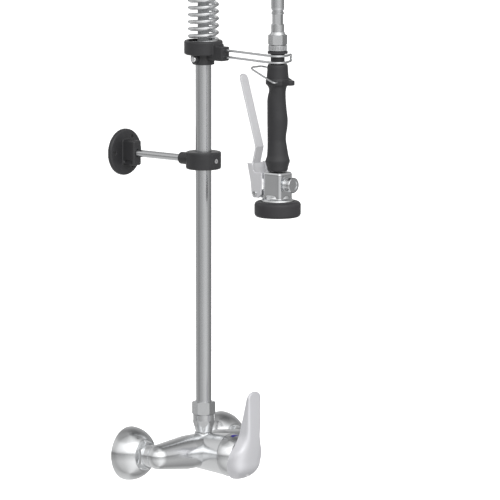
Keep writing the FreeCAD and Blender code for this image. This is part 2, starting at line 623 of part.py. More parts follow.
# ---- spray: valve -------------------------------------------------------------------------------
def valve_body():
    """Valve block with its spray socket below, grip socket above and lever ears at the back."""
    y = SPRAY_Y
    core = block((-11.3, y - 12.8, VALVE_Z), (11.3, y + 12.8, VALVE_TOP - 0.2))
    core = core.makeFillet(3.2, [e for e in core.Edges if e.BoundBox.ZMax > VALVE_TOP - 1 or
                                 e.BoundBox.ZLength > 20])
    foot = turned([(0, 284.8), (17.4, 284.8), (17.9, 285.3), (17.9, 288.2), (16.6, 289.6), (0, 289.6)],
                  (0, y, 0), Z)
    seat = turned([(0, 289.0), (14.6, 289.0), (13.2, 292.8), (0, 292.8)], (0, y, 0), Z)
    shape = core.multiFuse([foot, seat])
    for side in (-1, 1):
        low, high = sorted((side * 6.4, side * 10.4))
        ear = block((low, y + 8, 290.4), (high, y + 20.7, 299.6))
        tip = cylinder((low, y + LEVER_PIVOT[0], LEVER_PIVOT[1]), X, 4.6, 4.0)
        shape = shape.multiFuse([ear, tip])
    guide = cylinder((0, y + 10, STEM_Z), Y, 5.2, 5.6)
    bonnet = cylinder((0, y - 10, 306.0), -Y, 6.0, 6.4)
    shape = shape.multiFuse([guide, bonnet])
    cuts = [cylinder((-30, y + LEVER_PIVOT[0], LEVER_PIVOT[1]), X, 2.05, 60),
            cylinder((0, y + 30, STEM_Z), -Y, 2.05, 24.5),
            cylinder((0, y + 6, STEM_Z), -Y, 5.0, 15.0),
            cylinder((0, y, 312), Z, 4.9, 20),
            cylinder((0, y, 284), Z, 4.9, 26),
            cylinder((0, y - 4, 306.0), -Y, 2.55, 20),
            cylinder((0, y, 284), Z, 14.6, 3.2)]
    for cut in cuts:
        shape = shape.cut(cut)
    return shape


def valve_parts():
    """Stem, plunger seal, spring and retaining screw of the valve."""
    y = SPRAY_Y
    parts = {}
    stem = cylinder((0, y + 26.0, STEM_Z), -Y, 2.0, 27.2).fuse(
        cylinder((0, y + 1.2, STEM_Z), -Y, 4.0, 2.4))
    parts["valve_stem"] = stem
    parts["valve_seal"] = tube((0, y + 4.2, STEM_Z), -Y, 4.6, 2.1, 2.6)
    parts["valve_spring"] = tube((0, y - 1.7, STEM_Z), -Y, 4.2, 3.0, 7.0)
    outline = [(0, 0), (8.0, 0), (8.6, 0.6), (8.6, 4.4), (8.0, 5.2), (0, 5.2)]
    knob = turned(outline, (0, y - 18.6, 306.0), -Y)
    knob = knob.fuse(cylinder((0, y - 5, 306.0), -Y, 2.5, 14.0)).fuse(
        cylinder((0, y - 16.7, 306.0), -Y, 5.4, 2.4))
    knob = knob.cut(turned([(0, 0), (5.6, 0), (5.2, 0.9), (0, 0.9)], (0, y - 23.8, 306.0), Y))
    parts["flow_knob"] = knob
    return parts


def spray_lever():
    """Pressed lever: a long blade, two bends, and a fork that straddles the valve."""
    y = SPRAY_Y
    t = LEVER_T
    half = LEVER_WIDTH / 2.0
    centre = [(50.9, 424.5), (26.4, 345.0), (31.0, 327.0), (26.6, 309.0)]
    outline = [(y + a + t / 2, b) for a, b in centre] + [(y + a - t / 2, b) for a, b in reversed(centre)]
    blade = plate_yz(outline, -half, half)
    tip = Part.makeCylinder(half, 40, Vector(0, y + 30, 418.0), Y)
    keep = tip.fuse(block((-20, y - 60, 250), (20, y + 80, 418.0)))
    blade = blade.common(keep)
    web = [(y + 32.1, 327.4), (y + 29.9, 326.6), (y + 25.5, 309.0), (y + 27.7, 309.0)]
    shape = blade.fuse(plate_yz(web, -14.2, 14.2))
    cheek = [(y + 31.9, 328.0), (y + 25.0, 328.0), (y + 23.0, 322.5), (y + 18.2, 318.4), (y + 11.4, 318.4),
             (y + 11.0, 306.0), (y + 12.4, 294.0), (y + 16.2, 290.4), (y + 23.2, 290.2), (y + 25.8, 293.5),
             (y + 27.7, 309.0)]
    for side in (-1, 1):
        low, high = sorted((side * 12.2, side * 14.2))
        plate = plate_yz(cheek, low, high)
        plate = plate.cut(cylinder((side * 20, y + LEVER_PIVOT[0], LEVER_PIVOT[1]), X * -side, 2.05, 20))
        plate = plate.cut(cylinder((side * 20, y + 19.0, 322.4), X * -side, 4.4, 20))
        shape = shape.fuse(plate)
    return shape.removeSplitter()


def lever_pin():
    """Headed pin of the spray lever."""
    y = SPRAY_Y + LEVER_PIVOT[0]
    z = LEVER_PIVOT[1]
    pin = cylinder((-14.6, y, z), X, 1.98, 29.2)
    for side in (-1, 1):
        head = turned([(0, 0), (3.2, 0), (3.2, 0.6), (2.2, 1.3), (0, 1.5)], (side * 14.5, y, z), X * side)
        pin = pin.fuse(head)
    return pin


def spray_head():
    """Rubber bumper ring, perforated face and its screw."""
    y = SPRAY_Y
    parts = {}
    parts["spray_bumper"] = turned(
        [(18.3, 285.0), (18.3, 271.0), (20.0, 269.8), (22.6, 269.6), (24.6, 270.8), (25.6, 273.4),
         (25.6, 282.6), (24.8, 285.4), (22.6, 287.2), (19.2, 287.2), (18.3, 286.4)], (0, y, 0), Z)
    cup = turned([(0, 284.5), (18.1, 284.5), (18.1, 272.4), (17.0, 271.4), (15.4, 271.4), (15.4, 274.6),
                  (16.4, 274.6), (16.4, 281.4), (0, 281.4)], (0, y, 0), Z)
    neck = tube((0, y, 284.5), Z, 14.4, 4.9, 2.2)
    parts["spray_cup"] = cup.fuse(neck).cut(cylinder((0, y, 280), Z, 4.9, 10))
    face = cylinder((0, y, 274.9), Z, 16.2, 2.0)
    holes = []
    for count, radius in ((6, 5.0), (12, 9.2), (18, 13.0)):
        for i in range(count):
            a = 2 * math.pi * i / count
            holes.append(cylinder((radius * math.cos(a), y + radius * math.sin(a), 270), Z, 0.9, 10))
    for hole in holes:
        face = face.cut(hole)
    face = face.cut(cylinder((0, y, 270), Z, 2.05, 10))
    parts["spray_face"] = face
    screw = cylinder((0, y, 272.9), Z, 2.0, 7.0).fuse(
        turned([(0, 0), (3.0, 0), (4.0, 1.0), (4.0, 1.8), (0, 1.8)], (0, y, 272.9), Z))
    parts["face_screw"] = screw.cut(block((-5, y - 0.5, 272), (5, y + 0.5, 273.8)))
    return parts


# ---- build --------------------------------------------------------------------------------------
def main():
    """Build and write every node."""
    os.makedirs("parts", exist_ok=True)
    nodes = {"mixer_body": mixer_body()}
    for name, side in (("left", -1), ("right", 1)):
        nodes[name + "_escutcheon"] = escutcheon(side)
        nodes[name + "_union"] = union(side)
        nodes[name + "_inlet_nut"] = inlet_nut(side)
        nodes[name + "_inlet_washer"] = inlet_washer(side)
    nodes.update(cartridge_parts())
    nodes["dome_cap"] = dome_cap()
    nodes["cold_index"] = cold_index()
    nodes["mixer_handle"] = mixer_handle()
    nodes["lever_stem"] = lever_stem()
    nodes["handle_screw"] = handle_screw()
    nodes["outlet_adapter"] = outlet_adapter()
    nodes["riser_nut"] = riser_nut()
    nodes["riser_seal"] = riser_seal()
    nodes["riser_pipe"] = riser_pipe()
    nodes["bracket_clamp"] = bracket_clamp()
    nodes["clamp_screw"] = clamp_screw()
    nodes["bracket_rod"] = bracket_rod()
    nodes["wall_plate"] = wall_plate()
    nodes["hub_screw"] = hub_screw()
    nodes["hook_collar"] = hook_collar()
    nodes["collar_screw"] = collar_screw()
    nodes["hook_wire"] = hook_wire()
    nodes["support_spring"] = along_route(
        arch_segments(SPRING_START_Z, SPRING_END_Z), SPRING_R, SPRING_R - SPRING_WALL)
    nodes["hose"] = along_route(arch_segments(RISER_TOP + 0.3, 500.4), HOSE_R, HOSE_BORE_R)
    nodes["hose_lower_nut"] = hose_lower_nut()
    nodes["spring_cap"] = spring_cap()
    nodes.update(spray_fittings())
    nodes["handle_tube"] = handle_tube()
    nodes["grip"] = grip()
    nodes["bail_ring"] = bail_ring()
    nodes["valve_body"] = valve_body()
    nodes.update(valve_parts())
    nodes["spray_lever"] = spray_lever()
    nodes["lever_pin"] = lever_pin()
    nodes.update(spray_head())
    for name, shape in nodes.items():
        if not shape.isValid() or len(shape.Solids) != 1 or shape.Volume <= 0:
            print("CHECK", name, shape.isValid(), len(shape.Solids), round(shape.Volume))
        export(name, shape)
    print(len(nodes), "nodes")


main()
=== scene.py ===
import json
import logging
import math
from dataclasses import dataclass, field
from enum import Enum
from typing import Any, Iterable, Optional, Sequence

import bmesh
import bpy
from mathutils import Matrix, Vector


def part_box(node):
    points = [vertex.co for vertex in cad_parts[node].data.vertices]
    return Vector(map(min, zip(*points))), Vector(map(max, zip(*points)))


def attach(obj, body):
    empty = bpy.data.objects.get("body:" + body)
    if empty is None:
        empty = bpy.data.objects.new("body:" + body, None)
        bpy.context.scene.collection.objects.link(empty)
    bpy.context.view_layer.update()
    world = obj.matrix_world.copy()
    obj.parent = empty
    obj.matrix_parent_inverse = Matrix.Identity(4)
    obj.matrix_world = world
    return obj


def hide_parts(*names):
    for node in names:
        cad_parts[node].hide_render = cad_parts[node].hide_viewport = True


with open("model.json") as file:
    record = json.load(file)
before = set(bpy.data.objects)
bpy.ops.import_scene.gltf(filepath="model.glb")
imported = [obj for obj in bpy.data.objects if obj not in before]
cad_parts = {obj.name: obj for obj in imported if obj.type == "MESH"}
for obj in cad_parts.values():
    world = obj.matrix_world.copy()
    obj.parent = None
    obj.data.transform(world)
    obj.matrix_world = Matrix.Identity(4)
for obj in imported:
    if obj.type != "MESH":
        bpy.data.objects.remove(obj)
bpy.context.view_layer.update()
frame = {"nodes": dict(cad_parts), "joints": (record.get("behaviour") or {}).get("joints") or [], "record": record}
log = logging.getLogger("faucet")

MM = 0.001
TAU = 2.0 * math.pi


# ---- shader maths ----
class Maths:
    """A socket that adds Math nodes when it is used in a Python expression."""

    def __init__(self, tree: bpy.types.NodeTree, socket: Any) -> None:
        """Wraps an output socket of a tree."""
        self.tree = tree
        self.socket = socket

    def _join(self, operation: str, first: Any, second: Any = None) -> "Maths":
        """Adds one Math node.

        Args:
            operation: the Math node's operation.
            first: a Maths value or a number.
            second: a Maths value, a number, or None for a function of one value.

        Returns:
            The node's result.
        """
        node = self.tree.nodes.new("ShaderNodeMath")
        node.operation = operation
        for i, value in enumerate((first, second)):
            if isinstance(value, Maths):
                self.tree.links.new(value.socket, node.inputs[i])
            elif value is not None:
                node.inputs[i].default_value = value
        return Maths(self.tree, node.outputs[0])

    def __add__(self, other: Any) -> "Maths":
        """self + other."""
        return self._join("ADD", self, other)

    def __radd__(self, other: Any) -> "Maths":
        """other + self."""
        return self._join("ADD", other, self)

    def __sub__(self, other: Any) -> "Maths":
        """self - other."""
        return self._join("SUBTRACT", self, other)

    def __rsub__(self, other: Any) -> "Maths":
        """other - self."""
        return self._join("SUBTRACT", other, self)

    def __mul__(self, other: Any) -> "Maths":
        """self * other."""
        return self._join("MULTIPLY", self, other)

    def __rmul__(self, other: Any) -> "Maths":
        """other * self."""
        return self._join("MULTIPLY", other, self)

    def sine(self) -> "Maths":
        """The sine of self."""
        return self._join("SINE", self)

    def cosine(self) -> "Maths":
        """The cosine of self."""
        return self._join("COSINE", self)

    def angle_from(self, other: Any) -> "Maths":
        """The angle whose tangent is self over other, all the way round."""
        return self._join("ARCTAN2", self, other)

    def at_least(self, other: Any) -> "Maths":
        """The larger of self and other."""
        return self._join("MAXIMUM", self, other)


class Graph:
    """Builds a node tree: one method makes any node."""

    def __init__(self, tree: bpy.types.NodeTree, clear: bool = True) -> None:
        """Takes a tree, emptied first if clear is set."""
        self.tree = tree
        if clear:
            tree.nodes.clear()

    def add(self, kind: str, settings: Optional[dict] = None, inputs: Optional[dict] = None) -> Any:
        """Adds a node.

        Args:
            kind: the node's type.
            settings: its properties; "stops" holds a ramp's (position, colour) pairs.
            inputs: values, Maths values or sockets by input name or index.

        Returns:
            The node.
        """
        node = self.tree.nodes.new(kind)
        for name, value in (settings or {}).items():
            if name == "stops":
                self._set_stops(node.color_ramp, value)
            else:
                setattr(node, name, value)
        for name, value in (inputs or {}).items():
            self.put(node, name, value)
        return node

    def put(self, node: Any, name: Any, value: Any) -> None:
        """Sets or links one input of a node.

        Args:
            node: the node.
            name: the input's name or index.
            value: a number, colour, Maths value or socket.
        """
        socket = node.inputs[name]
        if isinstance(value, Maths):
            self.tree.links.new(value.socket, socket)
        elif isinstance(value, bpy.types.NodeSocket):
            self.tree.links.new(value, socket)
        else:
            socket.default_value = value

    def value(self, socket: Any) -> Maths:
        """A socket ready for Python maths."""
        return Maths(self.tree, socket)

    @staticmethod
    def _set_stops(ramp: Any, stops: Sequence[tuple]) -> None:
        """Gives a colour ramp its stops.

        Args:
            ramp: the ramp.
            stops: (position, colour) pairs in order.
        """
        while len(ramp.elements) > 1:
            ramp.elements.remove(ramp.elements[-1])
        for i, (place, colour) in enumerate(stops):
            element = ramp.elements[0] if i == 0 else ramp.elements.new(place)
            element.position = place
            element.color = (*colour, 1.0)


# ---- finishes ----
class Grain(Enum):
    """Which way a surface is worked."""

    ALONG_Z = (1.0, 1.0, 0.02)
    ROUND = (0.06, 0.06, 1.0)
    EVEN = (1.0, 1.0, 1.0)


@dataclass(frozen=True)
class Metal:
    """A worked metal surface: fine grain, slow tone changes and a little wear in its roughness."""

    name: str
    colour: tuple = (0.78, 0.79, 0.80)
    roughness: float = 0.16
    spread: float = 0.06
    grain: Grain = Grain.EVEN
    grain_scale: float = 900.0
    grain_depth: float = 0.02
    tone: float = 0.05
    metallic: float = 1.0

    def material(self) -> bpy.types.Material:
        """Builds the material.

        Returns:
            The material.
        """
        mat = bpy.data.materials.new(self.name)
        mat.use_nodes = True
        g = Graph(mat.node_tree)
        place = g.add("ShaderNodeTexCoord").outputs["Object"]
        stretched = g.add("ShaderNodeMapping", inputs={"Vector": place, "Scale": self.grain.value})
        grain = g.add("ShaderNodeTexNoise", inputs={
            "Vector": stretched.outputs[0], "Scale": self.grain_scale, "Detail": 3.0,
            "Roughness": 0.55})
        clouds = g.add("ShaderNodeTexNoise", inputs={"Vector": place, "Scale": 38.0, "Detail": 2.0})
        fine = g.value(grain.outputs["Fac"])
        slow = g.value(clouds.outputs["Fac"])
        rough = self.roughness + (fine - 0.5) * self.spread + (slow - 0.5) * (self.spread * 1.4)
        tone = g.add("ShaderNodeMix", {"data_type": "RGBA"}, {
            0: (slow * 0.7 + fine * 0.3),
            6: (*[c * (1 - self.tone) for c in self.colour], 1.0),
            7: (*[min(1.0, c * (1 + self.tone)) for c in self.colour], 1.0)})
        bump = g.add("ShaderNodeBump", inputs={
            "Strength": self.grain_depth, "Distance": 0.0004, "Height": grain.outputs["Fac"]})
        shader = g.add("ShaderNodeBsdfPrincipled", inputs={
            "Base Color": tone.outputs[2], "Metallic": self.metallic, "Roughness": rough.at_least(0.03),
            "Normal": bump.outputs[0]})
        g.add("ShaderNodeOutputMaterial", inputs={"Surface": shader.outputs[0]})
        return mat


@dataclass(frozen=True)
class Moulding:
    """A moulded plastic or rubber surface with a fine texture and a soft sheen."""

    name: str
    colour: tuple = (0.040, 0.040, 0.043)
    roughness: float = 0.42
    texture_scale: float = 2600.0
    texture_depth: float = 0.12
    specular: float = 0.5
    coat: float = 0.0

    def material(self) -> bpy.types.Material:
        """Builds the material.

        Returns:
            The material.
        """
        mat = bpy.data.materials.new(self.name)
        mat.use_nodes = True
        g = Graph(mat.node_tree)
        place = g.add("ShaderNodeTexCoord").outputs["Object"]
        cells = g.add("ShaderNodeTexVoronoi", {"feature": "SMOOTH_F1"}, {
            "Vector": place, "Scale": self.texture_scale})
        clouds = g.add("ShaderNodeTexNoise", inputs={"Vector": place, "Scale": 60.0, "Detail": 4.0})
        slow = g.value(clouds.outputs["Fac"])
        tone = g.add("ShaderNodeMix", {"data_type": "RGBA"}, {
            0: slow, 6: (*[c * 0.86 for c in self.colour], 1.0),
            7: (*[c * 1.16 for c in self.colour], 1.0)})
        bump = g.add("ShaderNodeBump", inputs={
            "Strength": self.texture_depth, "Distance": 0.0002, "Height": cells.outputs["Distance"]})
        shader = g.add("ShaderNodeBsdfPrincipled", inputs={
            "Base Color": tone.outputs[2], "Roughness": self.roughness + (slow - 0.5) * 0.14,
            "Specular IOR Level": self.specular, "Coat Weight": self.coat, "Coat Roughness": 0.25,
            "Normal": bump.outputs[0]})
        g.add("ShaderNodeOutputMaterial", inputs={"Surface": shader.outputs[0]})
        return mat


FINISH_LIST = (
    Metal("satin_chrome", colour=(0.84, 0.85, 0.86), roughness=0.20, spread=0.05, grain_scale=700.0,
          grain_depth=0.008, tone=0.03),
    Metal("plated_brass", colour=(0.74, 0.75, 0.76), roughness=0.20, spread=0.04, grain_depth=0.006,
          tone=0.03),
    Metal("turned_steel", colour=(0.72, 0.73, 0.74), roughness=0.24, grain=Grain.ROUND,
          grain_scale=1400.0, grain_depth=0.012, tone=0.03),
    Metal("brushed_steel", colour=(0.68, 0.69, 0.70), roughness=0.22, spread=0.03, grain=Grain.ALONG_Z,
          grain_scale=1400.0, grain_depth=0.004, tone=0.03),
    Metal("spring_wire", colour=(0.74, 0.75, 0.76), roughness=0.20, grain_scale=1200.0, grain_depth=0.01),
    Metal("polished_wire", colour=(0.70, 0.71, 0.72), roughness=0.16, spread=0.04, grain_depth=0.006,
          tone=0.03),
    Metal("screw_steel", colour=(0.86, 0.86, 0.87), roughness=0.28, grain_scale=1500.0, tone=0.03,
          metallic=0.8),
    Metal("valve_chrome", colour=(0.80, 0.81, 0.82), roughness=0.18, spread=0.05, grain_scale=800.0,
          grain_depth=0.008, tone=0.04),
    Metal("lever_satin", colour=(0.78, 0.78, 0.81), roughness=0.40, spread=0.05, grain_depth=0.006,
          tone=0.02, metallic=0.55),
    Metal("pressed_steel", colour=(0.86, 0.86, 0.88), roughness=0.34, grain=Grain.ALONG_Z,
          grain_depth=0.01, tone=0.03, metallic=0.65),
    Moulding("black_moulding", colour=(0.030, 0.030, 0.032), roughness=0.36, texture_depth=0.08),
    Moulding("grip_moulding", colour=(0.026, 0.026, 0.028), roughness=0.40, texture_scale=1800.0),
    Moulding("black_rubber", colour=(0.030, 0.029, 0.032), roughness=0.46, texture_scale=2200.0),
    Moulding("grey_plastic", colour=(0.34, 0.35, 0.36), roughness=0.40),
    Moulding("hose_jacket", colour=(0.42, 0.43, 0.44), roughness=0.36, texture_scale=1500.0,
             texture_depth=0.06),
    Moulding("ceramic", colour=(0.82, 0.81, 0.78), roughness=0.20, texture_scale=3000.0,
             texture_depth=0.02),
    Moulding("blue_index", colour=(0.018, 0.012, 0.21), roughness=0.25, texture_scale=900.0,
             texture_depth=0.02, coat=0.5),
)
FINISHES = {finish.name: finish for finish in FINISH_LIST}


class Paintbox:
    """Makes each finish once and dresses pieces with it."""

    def __init__(self) -> None:
        """Starts with no material made."""
        self.made: dict[str, bpy.types.Material] = {}

    def finish(self, slot: str) -> bpy.types.Material:
        """The material of a slot.

        Args:
            slot: the finish's name.

        Returns:
            Its material, made on first use.
        """
        if slot not in self.made:
            self.made[slot] = FINISHES[slot].material()
        return self.made[slot]

    def dress(self, piece: bpy.types.Object, slot: str) -> None:
        """Gives a piece the finish of one slot.

        Args:
            piece: the piece.
            slot: the finish's name.
        """
        piece.data.materials.clear()
        piece.data.materials.append(self.finish(slot))

    def dress_nodes(self) -> None:
        """Gives every CAD node the finish that the record names for it."""
        for part in frame["record"]["subparts"]:
            self.dress(frame["nodes"][part["node"]], part["material_slot"])


# ---- mesh making ----
def finish_mesh(mesh: bpy.types.Mesh, crease_degrees: float = 35.0) -> None:
    """Shades a mesh smooth between its crease edges.

    Args:
        mesh: the mesh.
        crease_degrees: the angle past which an edge is sharp.
    """
    for polygon in mesh.polygons:
        polygon.use_smooth = True
    mesh.set_sharp_from_angle(angle=math.radians(crease_degrees))


def new_piece(name: str, mesh: bpy.types.Mesh) -> bpy.types.Object:
    """Puts a mesh in the scene as a piece at the origin.

    Args:
        name: the piece's name.
        mesh: its mesh.

    Returns:
        The piece.
    """
    piece = bpy.data.objects.new(name, mesh)
    bpy.context.scene.collection.objects.link(piece)
    return piece


def from_bmesh(name: str, bm: bmesh.types.BMesh, crease_degrees: float = 35.0) -> bpy.types.Object:
    """Closes off a bmesh as a piece whose faces point outwards.

    Args:
        name: the piece's name.
        bm: the bmesh, freed here.
        crease_degrees: the angle past which an edge is sharp.

    Returns:
        The piece.
    """
    bmesh.ops.remove_doubles(bm, verts=bm.verts, dist=1e-7)
    bmesh.ops.recalc_face_normals(bm, faces=bm.faces)
    mesh = bpy.data.meshes.new(name)
    bm.to_mesh(mesh)
    bm.free()
    finish_mesh(mesh, crease_degrees)
    return new_piece(name, mesh)


def baked(piece: bpy.types.Object, crease_degrees: float = 35.0) -> bpy.types.Object:
    """Replaces a piece's mesh with its evaluated one and drops its modifiers.

    Args:
        piece: the piece with modifiers.
        crease_degrees: the angle past which an edge is sharp.

    Returns:
        A new piece with the plain mesh.
    """
    bpy.context.view_layer.update()
    depsgraph = bpy.context.evaluated_depsgraph_get()
    mesh = bpy.data.meshes.new_from_object(piece.evaluated_get(depsgraph))
    name = piece.name
    bpy.data.objects.remove(piece)
    mesh.name = name
    finish_mesh(mesh, crease_degrees)
    return new_piece(name, mesh)


def loft(name: str, rings: Sequence[Sequence[Vector]], crease_degrees: float = 35.0) -> bpy.types.Object:
    """A closed skin over rings of points, with both ends filled.

    Args:
        name: the piece's name.
        rings: rings of points, all of one length.
        crease_degrees: the angle past which an edge is sharp.

    Returns:
        The piece.
    """
    bm = bmesh.new()
    made = [[bm.verts.new(p) for p in ring] for ring in rings]
    count = len(made[0])
    for low, high in zip(made, made[1:]):
        for i in range(count):
            j = (i + 1) % count
            bm.faces.new((low[i], low[j], high[j], high[i]))
    for ring in (made[0], made[-1]):
        middle = bm.verts.new(sum((v.co for v in ring), Vector()) / count)
        for i in range(count):
            bm.faces.new((ring[i], ring[(i + 1) % count], middle))
    return from_bmesh(name, bm, crease_degrees)


def lathe(name: str, outline: Sequence[tuple], centre: Vector, axis: Vector, steps: int = 96,
          crease_degrees: float = 35.0) -> bpy.types.Object:
    """A closed turned solid.

    Args:
        name: the piece's name.
        outline: (radius, height) points round the section, in metres, not repeated at the end.
        centre: where height zero is.
        axis: the turning axis.
        steps: faces round the axis.
        crease_degrees: the angle past which an edge is sharp.

    Returns:
        The piece.
    """
    turn = Vector((0, 0, 1)).rotation_difference(axis).to_matrix().to_4x4()
    place = Matrix.Translation(centre) @ turn
    bm = bmesh.new()
    rings = []
    for i in range(steps):
        a = TAU * i / steps
        rings.append([bm.verts.new(place @ Vector((r * math.cos(a), r * math.sin(a), h)))
                      for r, h in outline])
    count = len(outline)
    for i in range(steps):
        here, there = rings[i], rings[(i + 1) % steps]
        for k in range(count):
            m = (k + 1) % count
            bm.faces.new((here[k], there[k], there[m], here[m]))
    bmesh.ops.remove_doubles(bm, verts=bm.verts, dist=1e-7)
    bmesh.ops.dissolve_degenerate(bm, edges=bm.edges, dist=1e-8)
    return from_bmesh(name, bm, crease_degrees)


def rounded(corners: Sequence[tuple], steps: int = 5) -> list[tuple]:
    """An outline with round corners.

    Args:
        corners: (radius, height, corner radius) points.
        steps: points in each round corner.

    Returns:
        (radius, height) points.
    """
    points = []
    count = len(corners)
    for i, (x, y, bend) in enumerate(corners):
        if bend <= 0:
            points.append((x, y))
            continue
        here = Vector((x, y))
        before = (Vector(corners[i - 1][:2]) - here).normalized()
        after = (Vector(corners[(i + 1) % count][:2]) - here).normalized()
        half = before.angle(after) / 2.0
        reach = bend / math.tan(half)
        centre = here + (before + after).normalized() * (bend / math.sin(half))
        start = here + before * reach - centre
        end = here + after * reach - centre
        total = start.angle_signed(end)
        for k in range(steps + 1):
            a = -total * k / steps
            c, s = math.cos(a), math.sin(a)
            points.append((centre.x + start.x * c - start.y * s, centre.y + start.x * s + start.y * c))
    return points


def cast_copy(node: str, voxel: float, passes: int) -> bpy.types.Object:
    """A copy of a CAD node with the soft edges of a casting or moulding.

    Args:
        node: the CAD node.
        voxel: the size of its new faces in metres.
        passes: how often it is smoothed.

    Returns:
        The piece.
    """
    bm = bmesh.new()
    bm.from_mesh(frame["nodes"][node].data)
    bmesh.ops.remove_doubles(bm, verts=bm.verts, dist=2e-6)
    mesh = bpy.data.meshes.new("cast_" + node)
    bm.to_mesh(mesh)
    bm.free()
    piece = new_piece("cast_" + node, mesh)
    remesh = piece.modifiers.new("remesh", "REMESH")
    remesh.mode = "VOXEL"
    remesh.voxel_size = voxel
    smooth = piece.modifiers.new("smooth", "SMOOTH")
    smooth.factor = 0.5
    smooth.iterations = passes
    return baked(piece, 180.0)


@dataclass
class Assembly:
    """What every sub-assembly shares: its paintbox and the way its pieces join the frame."""

    paint: Paintbox

    def seat(self, piece: bpy.types.Object, body: str, slot: str, *nodes: str) -> bpy.types.Object:
        """Dresses a piece, puts it on its body and hides the CAD nodes it stands for.

        Args:
            piece: the piece.
            body: the body it rides on.
            slot: its finish.
            nodes: the CAD nodes it stands for.

        Returns:
            The piece.
        """
        self.paint.dress(piece, slot)
        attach(piece, body)
        if nodes:
            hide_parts(*nodes)
        log.info("%s on %s", piece.name, body)
        return piece

    def cast(self, body: str, node: str, voxel: float, passes: int = 6) -> bpy.types.Object:
        """Replaces a CAD node of one body with its soft-edged copy, and returns the copy.

        Args:
            body: the node's body.
            node: the CAD node.
            voxel: the size of the copy's faces in metres.
            passes: how often it is smoothed.

        Returns:
            The copy.
        """
        slot = next(p["material_slot"] for p in frame["record"]["subparts"] if p["node"] == node)
        return self.seat(cast_copy(node, voxel, passes), body, slot, node)


# ---- geometry node trees ----
class Tree:
    """A Geometry Nodes tree with named inputs."""

    def __init__(self, name: str, sizes: dict[str, float]) -> None:
        """Makes the tree and its inputs.

        Args:
            name: the tree's name.
            sizes: input names and their usual values.
        """
        self.group = bpy.data.node_groups.new(name, "GeometryNodeTree")
        face = self.group.interface
        face.new_socket("Geometry", in_out="INPUT", socket_type="NodeSocketGeometry")
        self.idents = {}
        for key, value in sizes.items():
            kind = "NodeSocketInt" if isinstance(value, int) else "NodeSocketFloat"
            socket = face.new_socket(key, in_out="INPUT", socket_type=kind)
            socket.default_value = value
            self.idents[key] = socket.identifier
        paint = face.new_socket("Finish", in_out="INPUT", socket_type="NodeSocketMaterial")
        self.idents["Finish"] = paint.identifier
        face.new_socket("Geometry", in_out="OUTPUT", socket_type="NodeSocketGeometry")
        self.graph = Graph(self.group, clear=False)
        self.inp = self.graph.add("NodeGroupInput")
        self.out = self.graph.add("NodeGroupOutput")

    def size(self, key: str) -> Maths:
        """One named input as a value."""
        return self.graph.value(self.inp.outputs[key])

    def close(self, geometry: Any) -> None:
        """Ends the tree in Realize Instances and Set Material.

        Args:
            geometry: the socket with the made geometry.
        """
        real = self.graph.add("GeometryNodeRealizeInstances", inputs={"Geometry": geometry})
        paint = self.graph.add("GeometryNodeSetMaterial", inputs={
            "Geometry": real.outputs[0], "Material": self.inp.outputs["Finish"]})
        self.graph.put(self.out, "Geometry", paint.outputs[0])

    def run(self, host: bpy.types.Object, finish: bpy.types.Material, sizes: dict[str, float],
            crease_degrees: float = 40.0) -> bpy.types.Object:
        """Runs the tree on a host object and returns the plain mesh piece.

        Args:
            host: the object that the tree works on.
            finish: the material.
            sizes: values by input name.
            crease_degrees: the angle past which an edge is sharp.

        Returns:
            The piece.
        """
        modifier = host.modifiers.new("tree", "NODES")
        modifier.node_group = self.group
        for key, value in {**sizes, "Finish": finish}.items():
            modifier[self.idents[key]] = value
        return baked(host, crease_degrees)


def helix_tree() -> Tree:
    """A wire wound round a route that lies in the plane X = 0.

    Returns:
        The tree.
    """
    tree = Tree("wound_wire", {"Turns": 10.0, "Coil": 0.015, "Wire": 0.002, "Points": 400, "Sides": 10})
    g = tree.graph
    line = g.add("GeometryNodeResampleCurve", inputs={
        "Curve": tree.inp.outputs["Geometry"], "Count": tree.inp.outputs["Points"]})
    along = g.value(g.add("GeometryNodeSplineParameter").outputs["Factor"])
    angle = along * tree.size("Turns") * TAU
    tangent = g.add("GeometryNodeInputTangent").outputs[0]
    side = g.add("ShaderNodeVectorMath", {"operation": "CROSS_PRODUCT"}, {0: tangent, 1: (1.0, 0.0, 0.0)})
    swing = g.add("ShaderNodeVectorMath", {"operation": "SCALE"}, {
        0: side.outputs[0], "Scale": angle.sine() * tree.size("Coil")})
    sway = g.add("ShaderNodeCombineXYZ", inputs={0: angle.cosine() * tree.size("Coil")})
    move = g.add("ShaderNodeVectorMath", {"operation": "ADD"}, {0: swing.outputs[0], 1: sway.outputs[0]})
    wound = g.add("GeometryNodeSetPosition", inputs={
        "Geometry": line.outputs[0], "Offset": move.outputs[0]})
    ring = g.add("GeometryNodeCurvePrimitiveCircle", inputs={
        "Resolution": tree.inp.outputs["Sides"], "Radius": tree.inp.outputs["Wire"]})
    skin = g.add("GeometryNodeCurveToMesh", inputs={
        "Curve": wound.outputs[0], "Profile Curve": ring.outputs[0], "Fill Caps": True})
    tree.close(skin.outputs[0])
    return tree


def pipe_tree() -> Tree:
    """A round bar or hose along a curve.

    Returns:
        The tree.
    """
    tree = Tree("round_bar", {"Radius": 0.002, "Sides": 24})
    g = tree.graph
    ring = g.add("GeometryNodeCurvePrimitiveCircle", inputs={
        "Resolution": tree.inp.outputs["Sides"], "Radius": tree.inp.outputs["Radius"]})
    skin = g.add("GeometryNodeCurveToMesh", inputs={
        "Curve": tree.inp.outputs["Geometry"], "Profile Curve": ring.outputs[0], "Fill Caps": True})
    tree.close(skin.outputs[0])
    return tree


